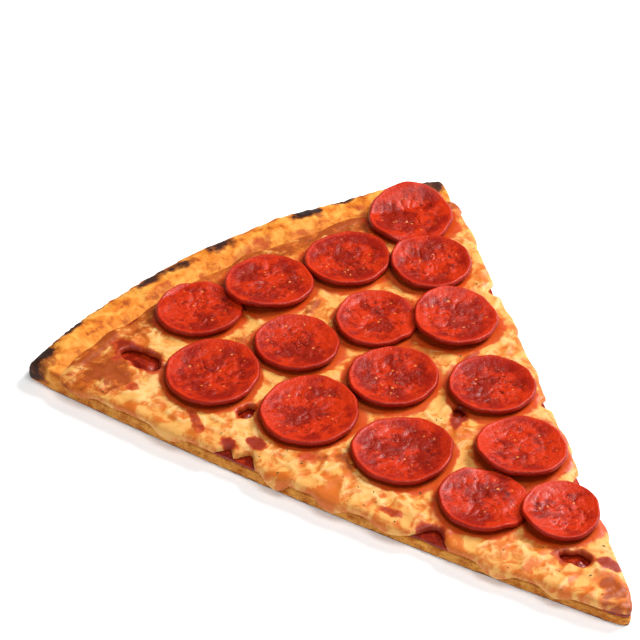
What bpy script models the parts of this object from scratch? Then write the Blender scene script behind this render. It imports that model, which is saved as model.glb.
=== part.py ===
"""A New York style pizza slice: one eighth of a 20 inch pizza, lying flat on its underside.

The slice lies along Y, with its tip at -Y and the outer rim of crust at +Y. The origin is on the
underside, in the middle of the slice's length. Its layers are separate solids: the dough with its
rim, the sauce, the melted cheese and sixteen slices of pepperoni. Blender units are metres.
"""

import math

import bmesh
import bpy
import numpy as np
from mathutils import Vector, geometry, noise

MM = 0.001

# The slice as a whole
PIZZA_RADIUS = 254 * MM
SLICE_ANGLE = math.radians(45)
TIP_LOSS = 5.2 * MM  # how far the rounded tip falls short of a sharp one
TIP_Y = -(PIZZA_RADIUS + TIP_LOSS) / 2
LEFT_BOW = 4.1 * MM
RIGHT_BOW = 1.1 * MM
CORNER_SOFTNESS = 2.8 * MM
TIP_SOFTNESS = 7.0 * MM
GAP = 0.36 * MM

# The dough and its rim
DOUGH_AT_TIP = 4.0 * MM
DOUGH_AT_RIM = 5.6 * MM
RIM_HEIGHT = 9.2 * MM
RIM_FOOT = 24 * MM
RIM_CREST = 7 * MM
RIM_WAVE = 0.9 * MM
# A blister: turn from the slice's middle in degrees, distance in from the outer edge, radius, height
BLISTERS = (
    (-18.5, 8 * MM, 8 * MM, 1.1 * MM),
    (-9.0, 9 * MM, 7 * MM, 0.9 * MM),
    (1.5, 8 * MM, 9 * MM, 1.2 * MM),
    (9.5, 9 * MM, 6 * MM, 1.0 * MM),
    (19.0, 6 * MM, 7 * MM, 0.8 * MM),
)

# The sauce and the cheese
SAUCE = 1.0 * MM
SAUCE_TAPER = 14 * MM
SAUCE_INSET = 17.0 * MM
CHEESE = 2.3 * MM
CHEESE_INSET = 17.5 * MM
CHEESE_TAPER = 9 * MM
CHEESE_WAVE = 0.45 * MM
CHEESE_LUMP = 0.9 * MM
# A notch in the cheese at a cut: distance from the tip, half width, depth
LEFT_NOTCHES = ((164 * MM, 4.5 * MM, 3.5 * MM), (156 * MM, 5.5 * MM, 5 * MM), (80 * MM, 8 * MM, 6 * MM))
RIGHT_NOTCHES = ((179 * MM, 5 * MM, 3 * MM), (112 * MM, 4 * MM, 2.5 * MM), (70 * MM, 5 * MM, 3 * MM))
# A lobe of cheese down a cut: distance from the tip, half width, drop
LEFT_DRIPS = (
    (228 * MM, 9 * MM, 2.0 * MM),
    (188 * MM, 10 * MM, 3.2 * MM),
    (142 * MM, 7 * MM, 4.6 * MM),
    (119 * MM, 9 * MM, 3.6 * MM),
    (96 * MM, 10 * MM, 2.6 * MM),
    (54 * MM, 9 * MM, 3.8 * MM),
    (31 * MM, 8 * MM, 2.2 * MM),
)
RIGHT_DRIPS = (
    (214 * MM, 10 * MM, 2.8 * MM),
    (160 * MM, 9 * MM, 3.6 * MM),
    (131 * MM, 8 * MM, 2.4 * MM),
    (91 * MM, 9 * MM, 3.4 * MM),
    (45 * MM, 8 * MM, 2.6 * MM),
)
DRIP_THICKNESS = 1.5 * MM
# A hole in the cheese, with sauce in it: x, distance up from the slice's true corner, half length,
# half width, turn in degrees
SAUCE_HOLES = tuple(
    (x * MM, TIP_Y + up * MM, a * MM, b * MM, degrees)
    for x, up, a, b, degrees in (
        (-61.5, 209.5, 9.0, 4.6, 103),
        (1.0, 35.0, 5.6, 3.2, 125),
        (14.8, 118.0, 3.0, 2.2, 60),
        (-47.5, 163.0, 4.0, 2.6, 15),
    )
)
SAUCE_POOL = 0.9 * MM

# The pepperoni: x, distance up from the slice's true corner, radius, and the numbers of the slices
# that lie over it, counted from 0. A slice lies over the ones before it.
PEPPERONI_THICKNESS = 1.7 * MM
PEPPERONI_CUP = 1.5 * MM
PEPPERONI_LIFT = 2.3 * MM  # how far a slice tips up onto the edge of another
PEPPERONI = tuple(
    (x * MM, TIP_Y + up * MM, radius * MM, over)
    for x, up, radius, over in (
        (68.8, 217.4, 16.6, (2,)),
        (32.7, 210.0, 16.0, ()),
        (56.6, 189.0, 15.2, ()),
        (20.3, 175.3, 15.6, (12,)),
        (-29.8, 218.7, 15.9, (13,)),
        (-12.1, 180.6, 15.6, ()),
        (-46.8, 185.4, 17.7, ()),
        (5.2, 145.1, 16.2, ()),
        (31.7, 120.5, 15.8, ()),
        (-30.4, 147.7, 18.2, ()),
        (-15.8, 111.3, 17.8, ()),
        (-8.5, 74.2, 15.8, (14, 15)),
        (44.0, 157.6, 16.0, ()),
        (-0.2, 215.5, 16.4, ()),
        (18.8, 87.2, 16.1, ()),
        (9.4, 53.6, 13.9, ()),
    )
)


def smooth(low, high, value):
    """0 below low, 1 above high, and a smooth rise between them."""
    t = min(1.0, max(0.0, (value - low) / (high - low)))
    return t * t * (3 - 2 * t)


def ripple(x, y, wavelength, layer):
    """Even noise from -1 to 1, the same each time. Another layer gives another pattern."""
    return noise.noise(Vector((x / wavelength, y / wavelength, 7.3 * layer)))


def from_tip(x, y):
    return math.hypot(x, y - TIP_Y)


def from_edge(x, y):
    return PIZZA_RADIUS - from_tip(x, y)


def turn(x, y):
    """The angle from the slice's middle line, positive towards +X, in degrees."""
    return math.degrees(math.atan2(x, y - TIP_Y))


# Outlines: closed rings of points seen from above


def cut_point(side, distance, bow):
    """A point of a straight cut at that distance from the tip. side is -1 on the left."""
    angle = side * SLICE_ANGLE / 2
    out = bow * math.sin(math.pi * distance / PIZZA_RADIUS)
    x = distance * math.sin(angle) + side * math.cos(angle) * out
    y = TIP_Y + distance * math.cos(angle) - side * math.sin(angle) * out
    return x, y


def sector_ring(arc_inset):
    """The slice's outline, counter-clockwise from the tip, with its arc moved in by arc_inset(turn)."""
    fine = 0.5 * MM
    half = SLICE_ANGLE / 2
    reach_right = PIZZA_RADIUS - arc_inset(math.degrees(half))
    reach_left = PIZZA_RADIUS - arc_inset(-math.degrees(half))
    ring = [cut_point(1, d, RIGHT_BOW) for d in np.arange(0, reach_right, fine)]
    steps = int(PIZZA_RADIUS * SLICE_ANGLE / fine)
    for k in range(steps + 1):
        angle = half - SLICE_ANGLE * k / steps
        reach = PIZZA_RADIUS - arc_inset(math.degrees(angle))
        ring.append((reach * math.sin(angle), TIP_Y + reach * math.cos(angle)))
    ring += [cut_point(-1, d, LEFT_BOW) for d in np.arange(reach_left, fine, -fine)]
    ring = np.array(ring)
    away = np.array([smooth(20 * MM, 40 * MM, from_tip(x, y)) for x, y in ring])[:, None]
    return away * soften(ring, CORNER_SOFTNESS, fine) + (1 - away) * soften(ring, TIP_SOFTNESS, fine)


def soften(ring, reach, fine):
    """Rounds a ring's corners: each point becomes the weighted mean of its neighbours."""
    count = int(3 * reach / fine)
    offsets = np.arange(-count, count + 1)
    weights = np.exp(-0.5 * (offsets * fine / reach) ** 2)
    weights /= weights.sum()
    return sum(w * np.roll(ring, -k, axis=0) for w, k in zip(weights, offsets))


def resample(ring, step, per_radian):
    """Points a step apart where a ring runs straight, and closer where it turns."""
    ahead = np.roll(ring, -1, axis=0) - ring
    length = np.hypot(*ahead.T)
    heading = np.arctan2(ahead[:, 1], ahead[:, 0])
    bend = np.abs((np.roll(heading, -1) - heading + math.pi) % (2 * math.pi) - math.pi)
    cost = np.concatenate(([0], np.cumsum(length / step + bend * per_radian)))
    wanted = np.linspace(0, cost[-1], max(8, round(cost[-1])), endpoint=False)
    closed = np.vstack((ring, ring[:1]))
    return np.stack([np.interp(wanted, cost, closed[:, k]) for k in (0, 1)], 1)


def outward(ring):
    """Unit normals that point to the right of a ring's direction: out of a counter-clockwise one."""
    along = np.roll(ring, -1, axis=0) - np.roll(ring, 1, axis=0)
    along /= np.hypot(*along.T)[:, None]
    return np.stack((along[:, 1], -along[:, 0]), 1)


def blob_radius(hole, angle):
    """A hole's radius in one direction: an ellipse with a slow wobble."""
    x, y, a, b, tilt = hole
    t = angle - math.radians(tilt)
    ellipse = a * b / math.hypot(b * math.cos(t), a * math.sin(t))
    return ellipse * (1 + 0.10 * math.sin(3 * t + 900 * x) + 0.06 * math.sin(5 * t + 700 * y))


def blob_share(hole, x, y):
    """0 at a hole's middle and 1 on its outline."""
    dx, dy = x - hole[0], y - hole[1]
    return math.hypot(dx, dy) / blob_radius(hole, math.atan2(dy, dx))


def hole_ring(hole):
    """A hole's outline, clockwise."""
    count = max(12, round(2 * math.pi * (hole[2] + hole[3]) / 2 / (2.6 * MM)))
    turns = [-2 * math.pi * k / count for k in range(count)]
    points = [(t, blob_radius(hole, t)) for t in turns]
    return np.array([(hole[0] + r * math.cos(t), hole[1] + r * math.sin(t)) for t, r in points])


# Heights of the layers at any place


def dough_top(x, y):
    base = DOUGH_AT_TIP + (DOUGH_AT_RIM - DOUGH_AT_TIP) * (y - TIP_Y) / PIZZA_RADIUS
    inset = from_edge(x, y)
    crest = RIM_HEIGHT + RIM_WAVE * 2 * ripple(turn(x, y), 0, 6.5, 1)
    height = base + (crest - base) * smooth(RIM_FOOT, RIM_CREST, inset)
    if inset < RIM_CREST:
        height -= 0.28 * crest * ((RIM_CREST - inset) / RIM_CREST) ** 2
    for degrees, blister_inset, radius, rise in BLISTERS:
        sideways = math.radians(turn(x, y) - degrees) * from_tip(x, y)
        share = math.hypot(sideways, inset - blister_inset) / radius
        height += rise * smooth(1, 0, share)
    return height


def sauce_thickness(x, y):
    return SAUCE * (0.32 + 0.68 * smooth(SAUCE_INSET, SAUCE_INSET + SAUCE_TAPER, from_edge(x, y)))


def cheese_bottom(x, y):
    return dough_top(x, y) + sauce_thickness(x, y) + 2 * GAP


def sauce_top(x, y):
    """The sauce is a flat layer, and wells up in the holes and notches of the cheese."""
    well = max(smooth(0.66, 0.3, blob_share(hole, x, y)) for hole in SAUCE_HOLES)
    return dough_top(x, y) + sauce_thickness(x, y) + GAP + SAUCE_POOL * well


def pepperoni_clear(x, y):
    """Distance from the nearest slice of pepperoni's edge."""
    return min(math.hypot(x - px, y - py) - radius for px, py, radius, _ in PEPPERONI)


def cheese_top(x, y):
    """Gentle waves everywhere, and lumps of melted shreds away from the pepperoni."""
    taper = 0.35 + 0.65 * smooth(CHEESE_INSET, CHEESE_INSET + CHEESE_TAPER, from_edge(x, y))
    free = smooth(1.5 * MM, 6 * MM, pepperoni_clear(x, y))
    wave = CHEESE_WAVE * 1.6 * ripple(x, y, 26 * MM, 2)
    lump = CHEESE_LUMP * 1.8 * max(0.0, ripple(x, y, 9 * MM, 3)) * free
    return cheese_bottom(x, y) + CHEESE * taper + wave * taper + lump * taper


# Pepperoni rests on the cheese, the rim or a slice below it


def cup_rise(number, x, y):
    """How far a slice's curled edge stands up: less where it lies under or over another slice."""
    px, py, radius, over = PEPPERONI[number]
    share = math.hypot(x - px, y - py) / radius
    free = 1.0
    for upper in over:
        ux, uy, upper_radius, _ = PEPPERONI[upper]
        free = min(free, smooth(1 * MM, 8 * MM, math.hypot(x - ux, y - uy) - upper_radius))
    for lx, ly, lower_radius, above in PEPPERONI:
        if number in above:
            past = smooth(-2 * MM, 6 * MM, math.hypot(x - lx, y - ly) - lower_radius)
            free = min(free, 0.3 + 0.7 * past)
    lean = 0.25 * math.sin(math.atan2(y - py, x - px) * 2 + number)
    return PEPPERONI_CUP * (1 + lean) * share**2.4 * free


def pepperoni_bottom(number, x, y):
    """The lowest a slice can lie here, seen over a small patch so that flat facets stay clear."""
    patch = 2.2 * MM
    around = [k * math.pi / 3 for k in range(6)]
    places = [(x, y)] + [(x + patch * math.cos(t), y + patch * math.sin(t)) for t in around]
    height = GAP + max(max(cheese_top(*place), dough_top(*place)) for place in places)
    px, py, radius, _ = PEPPERONI[number]
    for lx, ly, _, above in PEPPERONI:
        if number in above:
            towards = ((x - px) * (lx - px) + (y - py) * (ly - py)) / math.hypot(lx - px, ly - py)
            height += PEPPERONI_LIFT * max(0, (1 + towards / radius) / 2) ** 1.5
    return height


# Solids built from rings of points


def edge_distance(points, ring):
    """The distance from each point to a ring's nearest side."""
    a, b = ring, np.roll(ring, -1, axis=0)
    ab = b - a
    share = ((points[:, None] - a) * ab).sum(2) / (ab**2).sum(1)
    nearest = a + ab * np.clip(share, 0, 1)[..., None]
    return np.hypot(*np.moveaxis(points[:, None] - nearest, 2, 0)).min(1)


def inside(points, ring):
    """Whether each point lies inside a ring, by counting the sides to its right."""
    a, b = ring, np.roll(ring, -1, axis=0)
    x, y = points[:, :1], points[:, 1:]
    spans = (a[:, 1] > y) != (b[:, 1] > y)
    rise = np.where(b[:, 1] == a[:, 1], 1, b[:, 1] - a[:, 1])
    crossing = a[:, 0] + (y - a[:, 1]) * (b[:, 0] - a[:, 0]) / rise
    return (spans & (crossing > x)).sum(1) % 2 == 1


def hexagon_grid(rings, spacing, keep=lambda x, y: True):
    """Points a spacing apart inside the first ring, outside the others, and clear of them all."""
    low, high = rings[0].min(0), rings[0].max(0)
    rows = np.arange(low[1], high[1], spacing * math.sqrt(3) / 2)
    points = []
    for k, y in enumerate(rows):
        start = low[0] + (k % 2) * spacing / 2
        points += [(x, y) for x in np.arange(start, high[0], spacing) if keep(x, y)]
    if not points:
        return np.zeros((0, 2))
    points = np.array(points)
    good = inside(points, rings[0])
    for hole in rings[1:]:
        good &= ~inside(points, hole)
    for ring in rings:
        good &= edge_distance(points, ring) > 0.62 * spacing
    return points[good]


def triangles(rings, loose):
    """Delaunay triangles between rings and loose points, as indices into them in that order."""
    every = np.vstack((*rings, loose))
    sides, first = [], 0
    for ring in rings:
        sides += [(first + k, first + (k + 1) % len(ring)) for k in range(len(ring))]
        first += len(ring)
    found = geometry.delaunay_2d_cdt([Vector(p) / MM for p in every], sides, [], 0, 1e-6)
    index = [origins[0] for origins in found[3]]
    faces = [tuple(index[v] for v in face) for face in found[2]]
    middles = np.array([every[list(face)].mean(0) for face in faces])
    good = inside(middles, rings[0])
    for hole in rings[1:]:
        good &= ~inside(middles, hole)
    return [face for face, kept in zip(faces, good) if kept]


def layer_solid(name, rings, wall, top, bottom, top_points, bottom_points):
    """A closed layer: a wall of levels along each ring, and a triangulated top and bottom.

    wall(ring number, x, y) lists a wall's levels at a point, bottom first, as (outward, z).
    top_points and bottom_points give the loose points between the rings that they are given.
    """
    mesh = bmesh.new()
    levels_of = []
    for number, ring in enumerate(rings):
        normals = outward(ring)
        columns = [wall(number, x, y) for x, y in ring]
        levels = []
        for level in range(len(columns[0])):
            moved = ring + normals * np.array([column[level][0] for column in columns])[:, None]
            heights = [column[level][1] for column in columns]
            levels.append([mesh.verts.new((*point, z)) for point, z in zip(moved, heights)])
        levels_of.append(levels)
        for lower, upper in zip(levels, levels[1:]):
            for k in range(len(ring)):
                after = (k + 1) % len(ring)
                mesh.faces.new((lower[k], lower[after], upper[after], upper[k]))
    ends = ((-1, top, top_points, False), (0, bottom, bottom_points, True))
    for level, height, loose_points, flip in ends:
        borders = [levels[level] for levels in levels_of]
        flat = [np.array([(v.co.x, v.co.y) for v in border]) for border in borders]
        loose = loose_points(flat)
        corners = [v for border in borders for v in border]
        corners += [mesh.verts.new((x, y, height(x, y))) for x, y in loose]
        for face in triangles(flat, loose):
            around = [corners[k] for k in face]
            mesh.faces.new(around[::-1] if flip else around)
    return finished(name, mesh)


def finished(name, mesh):
    """Turns a bmesh into a smooth-shaded object of its own."""
    bmesh.ops.triangulate(mesh, faces=mesh.faces)
    bmesh.ops.recalc_face_normals(mesh, faces=mesh.faces)
    data = bpy.data.meshes.new(name)
    mesh.to_mesh(data)
    mesh.free()
    data.shade_smooth()
    data.set_sharp_from_angle(angle=math.radians(40))
    node = bpy.data.objects.new(name, data)
    bpy.context.scene.collection.objects.link(node)
    return node


def material(name, colour, roughness):
    made = bpy.data.materials.new(name)
    made.use_nodes = True
    shader = made.node_tree.nodes["Principled BSDF"]
    shader.inputs["Base Color"].default_value = (*colour, 1)
    shader.inputs["Roughness"].default_value = roughness
    shader.inputs["Metallic"].default_value = 0
    return made


def bump_along(side_list, distance):
    """The largest of the bumps (place, half width, size) at that distance from the tip."""
    return max(size * smooth(width, 0, abs(distance - place)) for place, width, size in side_list)


# The pieces


def build_dough(look):
    """Bread with a raised outer rim, torn a little along its cuts."""
    ring = resample(sector_ring(lambda degrees: 0), 4.6 * MM, 2.2)

    def wall(_, x, y):
        rim = smooth(12 * MM, 3 * MM, from_edge(x, y))
        rounding = 0.45 + 0.55 * rim
        torn = 0.35 * MM * (1 + ripple(x, y, 7 * MM, 4)) * (1 - rim)
        height = dough_top(x, y)
        profile = ((0.0, 1.6), (0.10, 0.5), (0.34, 0.0), (0.68, 0.2), (0.90, 0.8), (1.0, 1.8))
        levels = []
        for share, inset in profile:
            grain = torn if 0 < share < 1 else 0.5 * torn
            levels.append((-inset * MM * rounding - grain, share * height))
        return levels

    def top_points(flat):
        near_rim = hexagon_grid(flat, 4.0 * MM, lambda x, y: from_edge(x, y) < RIM_FOOT + 4 * MM)
        flat_part = hexagon_grid(flat, 24 * MM, lambda x, y: from_edge(x, y) > RIM_FOOT + 12 * MM)
        return np.vstack((near_rim, flat_part))

    def bottom_points(flat):
        return hexagon_grid(flat, 40 * MM)

    node = layer_solid("dough", [ring], wall, dough_top, lambda x, y: 0.0, top_points, bottom_points)
    node.data.materials.append(look)


def build_sauce(look):
    """A thin layer on the dough, raised where the cheese has a hole."""
    base = sector_ring(lambda degrees: SAUCE_INSET + 1.5 * MM * ripple(degrees, 0, 3, 5))
    ring = resample(base, 5.0 * MM, 2.2)

    def low(x, y):
        return dough_top(x, y) + GAP

    def wall(_, x, y):
        inset = 0.5 * MM + 0.4 * MM * ripple(x, y, 8 * MM, 6)
        bottom, top = low(x, y), sauce_top(x, y)
        return [(-inset, bottom), (-inset + 0.15 * MM, (bottom + top) / 2), (-inset - 0.1 * MM, top)]

    def clear_of_pools(x, y):
        return min(blob_share(hole, x, y) for hole in SAUCE_HOLES) > 1.3

    def pool_points(hole):
        """Rings of points in a hole, so that the sauce is down flat where the cheese begins."""
        points = [hole[:2]]
        for share in (0.34, 0.66, 1.1):
            count = max(6, round(share * 2 * math.pi * (hole[2] + hole[3]) / 2 / (2.8 * MM)))
            for k in range(count):
                angle = 2 * math.pi * (k + share) / count
                reach = share * blob_radius(hole, angle)
                points.append((hole[0] + reach * math.cos(angle), hole[1] + reach * math.sin(angle)))
        return np.array(points)

    def near_rim(x, y):
        return from_edge(x, y) < RIM_FOOT + 4 * MM

    def bottom_points(flat):
        return np.vstack((hexagon_grid(flat, 4.0 * MM, near_rim), hexagon_grid(flat, 40 * MM)))

    def top_points(flat):
        pools = [pool_points(hole) for hole in SAUCE_HOLES]
        rim = hexagon_grid(flat, 4.0 * MM, lambda x, y: near_rim(x, y) and clear_of_pools(x, y))
        return np.vstack((*pools, rim, hexagon_grid(flat, 40 * MM, clear_of_pools)))

    node = layer_solid("sauce", [ring], wall, sauce_top, low, top_points, bottom_points)
    node.data.materials.append(look)


def build_cheese(look):
    """Melted cheese with holes, notches at the cuts and lobes that run down over the dough."""
    base = sector_ring(lambda degrees: CHEESE_INSET + 2.5 * MM * 1.6 * ripple(degrees, 0, 3.5, 7))
    ring = resample(base, 4.4 * MM, 2.2)
    normals = outward(ring)
    for k, (x, y) in enumerate(ring):
        side = LEFT_NOTCHES if x < 0 else RIGHT_NOTCHES
        ring[k] -= normals[k] * bump_along(side, from_tip(x, y))
    rings = [ring] + [hole_ring(hole) for hole in SAUCE_HOLES]

    def wall(number, x, y):
        bottom, top = cheese_bottom(x, y), cheese_top(x, y)
        thick = top - bottom
        if number:
            return [
                (-0.2 * MM, bottom),
                (0.15 * MM, bottom + 0.35 * thick),
                (-0.3 * MM, bottom + 0.75 * thick),
                (-1.2 * MM, top),
            ]
        notches, drips = (LEFT_NOTCHES, LEFT_DRIPS) if x < 0 else (RIGHT_NOTCHES, RIGHT_DRIPS)
        distance = from_tip(x, y)
        cut = smooth(CHEESE_INSET + 4 * MM, CHEESE_INSET + 10 * MM, from_edge(x, y))
        cut *= smooth(0.3 * MM, 0, bump_along(notches, distance)) * smooth(9 * MM, 16 * MM, distance)
        share = bump_along(drips, distance) / (4.6 * MM) * cut
        drop, swell = 4.6 * MM * share, DRIP_THICKNESS * min(1, 2 * share)
        hug = 0.36 * MM * cut - 0.3 * MM * (1 - cut)
        tuck = 1.0 * MM + 0.6 * MM * smooth(10 * MM, 30 * MM, distance)
        return [
            (hug, bottom),
            (hug + 0.06 * MM, bottom - drop * 0.75),
            (hug + 0.12 * MM + 0.55 * swell, bottom - drop),
            (hug + 0.25 * MM + swell, bottom - drop * 0.45 + 0.15 * thick),
            (hug + 0.35 * swell, bottom + 0.62 * thick),
            (hug - 0.45 * tuck, top - 0.12 * thick),
            (hug - tuck, top),
        ]

    def near_rim(x, y):
        return from_edge(x, y) < RIM_FOOT + 6 * MM

    def bottom_points(flat):
        return np.vstack((hexagon_grid(flat, 4.0 * MM, near_rim), hexagon_grid(flat, 40 * MM)))

    def top_points(flat):
        return hexagon_grid(flat, 5.2 * MM)

    node = layer_solid("cheese", rings, wall, cheese_top, cheese_bottom, top_points, bottom_points)
    node.data.materials.append(look)


def build_pepperoni(number, look):
    """One slice: a thin, uneven disc with a curled edge, draped over what it lies on."""
    px, py, radius, _ = PEPPERONI[number]
    count = 20
    # share of the radius, and how far up the thickness, from the middle below to the middle above
    profile = ((0.5, 0.0), (0.93, 0.0), (1.0, 0.45), (0.95, 0.95), (0.8, 1.0), (0.42, 0.93))
    mesh = bmesh.new()

    def vertex(share, up, angle):
        uneven = 1 + 0.025 * math.sin(2 * angle + 2.1 * number)
        uneven += 0.015 * math.sin(3 * angle + 1.3 * number)
        x = px + radius * share * uneven * math.cos(angle)
        y = py + radius * share * uneven * math.sin(angle)
        height = pepperoni_bottom(number, x, y) + cup_rise(number, x, y) + up * PEPPERONI_THICKNESS
        return mesh.verts.new((x, y, height))

    turns = [2 * math.pi * k / count for k in range(count)]
    levels = [[vertex(share, up, angle) for angle in turns] for share, up in profile]
    for lower, upper in zip(levels, levels[1:]):
        for k in range(count):
            after = (k + 1) % count
            mesh.faces.new((lower[k], lower[after], upper[after], upper[k]))
    for level, up, flip in ((levels[0], 0.0, True), (levels[-1], 0.9, False)):
        middle = vertex(0, up, 0)
        for k in range(count):
            ends = (level[k], level[(k + 1) % count], middle)
            mesh.faces.new(ends[::-1] if flip else ends)
    node = finished(f"pepperoni_{number + 1:02d}", mesh)
    node.data.materials.append(look)


def main():
    for old in list(bpy.data.objects):
        bpy.data.objects.remove(old)
    build_dough(material("baked_dough", (0.62, 0.33, 0.09), 0.75))
    build_sauce(material("tomato_sauce", (0.35, 0.02, 0.008), 0.3))
    build_cheese(material("melted_cheese", (0.82, 0.52, 0.17), 0.4))
    meat = material("pepperoni", (0.46, 0.03, 0.012), 0.35)
    for number in range(len(PEPPERONI)):
        build_pepperoni(number, meat)


main()
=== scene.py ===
# %% [markdown]
# # A New York style pizza slice
# A slice is a stack: baked dough with a raised rim, a thin layer of tomato sauce, melted cheese,
# and round slices of pepperoni whose edges curl up in the heat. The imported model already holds
# those layers as plain solids in the right places. This script dresses them: each layer is made
# again as a fine mesh from the same sizes, and gets a finish that is worked out by nodes.

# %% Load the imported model
import math

import bpy
import numpy as np
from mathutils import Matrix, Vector, geometry, noise


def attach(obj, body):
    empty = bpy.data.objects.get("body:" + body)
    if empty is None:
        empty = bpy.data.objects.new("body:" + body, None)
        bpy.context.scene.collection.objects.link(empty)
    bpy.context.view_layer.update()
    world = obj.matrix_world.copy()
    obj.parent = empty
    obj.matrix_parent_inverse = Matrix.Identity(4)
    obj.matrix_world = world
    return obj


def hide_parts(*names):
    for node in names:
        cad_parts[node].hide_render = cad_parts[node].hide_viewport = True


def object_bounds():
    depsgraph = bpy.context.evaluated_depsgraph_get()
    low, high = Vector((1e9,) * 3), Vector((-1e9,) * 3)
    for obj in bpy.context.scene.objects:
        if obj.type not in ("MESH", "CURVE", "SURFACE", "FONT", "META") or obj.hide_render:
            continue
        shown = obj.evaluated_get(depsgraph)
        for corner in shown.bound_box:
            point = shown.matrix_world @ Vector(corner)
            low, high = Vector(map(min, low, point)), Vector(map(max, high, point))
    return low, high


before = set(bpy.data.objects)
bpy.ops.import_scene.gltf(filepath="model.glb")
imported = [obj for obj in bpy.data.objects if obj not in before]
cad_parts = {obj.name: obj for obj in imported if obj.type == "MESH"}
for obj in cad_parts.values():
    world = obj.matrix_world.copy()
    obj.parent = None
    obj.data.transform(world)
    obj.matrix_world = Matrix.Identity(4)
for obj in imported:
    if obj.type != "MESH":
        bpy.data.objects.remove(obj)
cad_box = [list(corner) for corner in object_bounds()]
print("nodes:", len(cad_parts), "box:", cad_box)

MM = 0.001

# %% [markdown]
# ## Sizes
# The values match the solids, so every layer lands where the solid is. A point of the slice is
# given by how far up it is from the sharp corner that the two cuts would meet in.

# %% The sizes of the slice
PIZZA_RADIUS = 254 * MM
SLICE_ANGLE = math.radians(45)
TIP_LOSS = 5.2 * MM
TIP_Y = -(PIZZA_RADIUS + TIP_LOSS) / 2
LEFT_BOW = 4.1 * MM
RIGHT_BOW = 1.1 * MM
CORNER_SOFTNESS = 2.8 * MM
TIP_SOFTNESS = 7.0 * MM
GAP = 0.36 * MM

DOUGH_AT_TIP = 4.0 * MM
DOUGH_AT_RIM = 5.6 * MM
RIM_HEIGHT = 9.2 * MM
RIM_FOOT = 24 * MM
RIM_CREST = 7 * MM
RIM_WAVE = 0.9 * MM
# Turn in degrees, distance in from the outer edge, radius, rise
BLISTERS = (
    (-18.5, 8 * MM, 8 * MM, 1.1 * MM),
    (-9.0, 9 * MM, 7 * MM, 0.9 * MM),
    (1.5, 8 * MM, 9 * MM, 1.2 * MM),
    (9.5, 9 * MM, 6 * MM, 1.0 * MM),
    (19.0, 6 * MM, 7 * MM, 0.8 * MM),
)

SAUCE = 1.0 * MM
SAUCE_TAPER = 14 * MM
SAUCE_INSET = 17.0 * MM
CHEESE = 2.3 * MM
CHEESE_INSET = 17.5 * MM
CHEESE_TAPER = 9 * MM
CHEESE_WAVE = 0.45 * MM
CHEESE_LUMP = 0.9 * MM
# Notches and drips along the cuts: distance from the tip, half width, depth
LEFT_NOTCHES = ((164 * MM, 4.5 * MM, 3.5 * MM), (156 * MM, 5.5 * MM, 5 * MM), (80 * MM, 8 * MM, 6 * MM))
RIGHT_NOTCHES = ((179 * MM, 5 * MM, 3 * MM), (112 * MM, 4 * MM, 2.5 * MM), (70 * MM, 5 * MM, 3 * MM))
LEFT_DRIPS = (
    (228 * MM, 9 * MM, 2.0 * MM),
    (188 * MM, 10 * MM, 3.2 * MM),
    (142 * MM, 7 * MM, 4.6 * MM),
    (119 * MM, 9 * MM, 3.6 * MM),
    (96 * MM, 10 * MM, 2.6 * MM),
    (54 * MM, 9 * MM, 3.8 * MM),
    (31 * MM, 8 * MM, 2.2 * MM),
)
RIGHT_DRIPS = (
    (214 * MM, 10 * MM, 2.8 * MM),
    (160 * MM, 9 * MM, 3.6 * MM),
    (131 * MM, 8 * MM, 2.4 * MM),
    (91 * MM, 9 * MM, 3.4 * MM),
    (45 * MM, 8 * MM, 2.6 * MM),
)
DRIP_THICKNESS = 1.5 * MM
SAUCE_HOLES = tuple(
    (x * MM, TIP_Y + up * MM, a * MM, b * MM, degrees)
    for x, up, a, b, degrees in (
        (-61.5, 209.5, 9.0, 4.6, 103),
        (1.0, 35.0, 5.6, 3.2, 125),
        (14.8, 118.0, 3.0, 2.2, 60),
        (-47.5, 163.0, 4.0, 2.6, 15),
    )
)
SAUCE_POOL = 0.9 * MM

PEPPERONI_THICKNESS = 1.7 * MM
PEPPERONI_CUP = 1.5 * MM
PEPPERONI_LIFT = 2.3 * MM
# x, distance up from the slice's true corner, radius, and the numbers of the slices that lie over it
PEPPERONI = tuple(
    (x * MM, TIP_Y + up * MM, radius * MM, over)
    for x, up, radius, over in (
        (68.8, 217.4, 16.6, (2,)),
        (32.7, 210.0, 16.0, ()),
        (56.6, 189.0, 15.2, ()),
        (20.3, 175.3, 15.6, (12,)),
        (-29.8, 218.7, 15.9, (13,)),
        (-12.1, 180.6, 15.6, ()),
        (-46.8, 185.4, 17.7, ()),
        (5.2, 145.1, 16.2, ()),
        (31.7, 120.5, 15.8, ()),
        (-30.4, 147.7, 18.2, ()),
        (-15.8, 111.3, 17.8, ()),
        (-8.5, 74.2, 15.8, (14, 15)),
        (44.0, 157.6, 16.0, ()),
        (-0.2, 215.5, 16.4, ()),
        (18.8, 87.2, 16.1, ()),
        (9.4, 53.6, 13.9, ()),
    )
)
print("pepperoni:", len(PEPPERONI), "slices")

# %% [markdown]
# ## Measures and noise
# Everything below works on whole arrays of points at once. `ripple` is Blender's own noise, which
# gives the same pattern on every run.


# %% Measures on the slice
def smooth(low, high, value):
    """0 below low, 1 above high, and a smooth rise between them."""
    t = np.clip((value - low) / (high - low), 0, 1)
    return t * t * (3 - 2 * t)


def ripple(x, y, wavelength, layer):
    """Even noise from -1 to 1. Another layer gives another pattern."""
    xs, ys = np.broadcast_arrays(np.asarray(x, float) / wavelength, np.asarray(y, float) / wavelength)
    depth = 7.3 * layer
    values = [noise.noise((a, b, depth)) for a, b in zip(xs.ravel(), ys.ravel())]
    return np.array(values).reshape(xs.shape)


def from_tip(x, y):
    return np.hypot(x, y - TIP_Y)


def from_edge(x, y):
    return PIZZA_RADIUS - from_tip(x, y)


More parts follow.
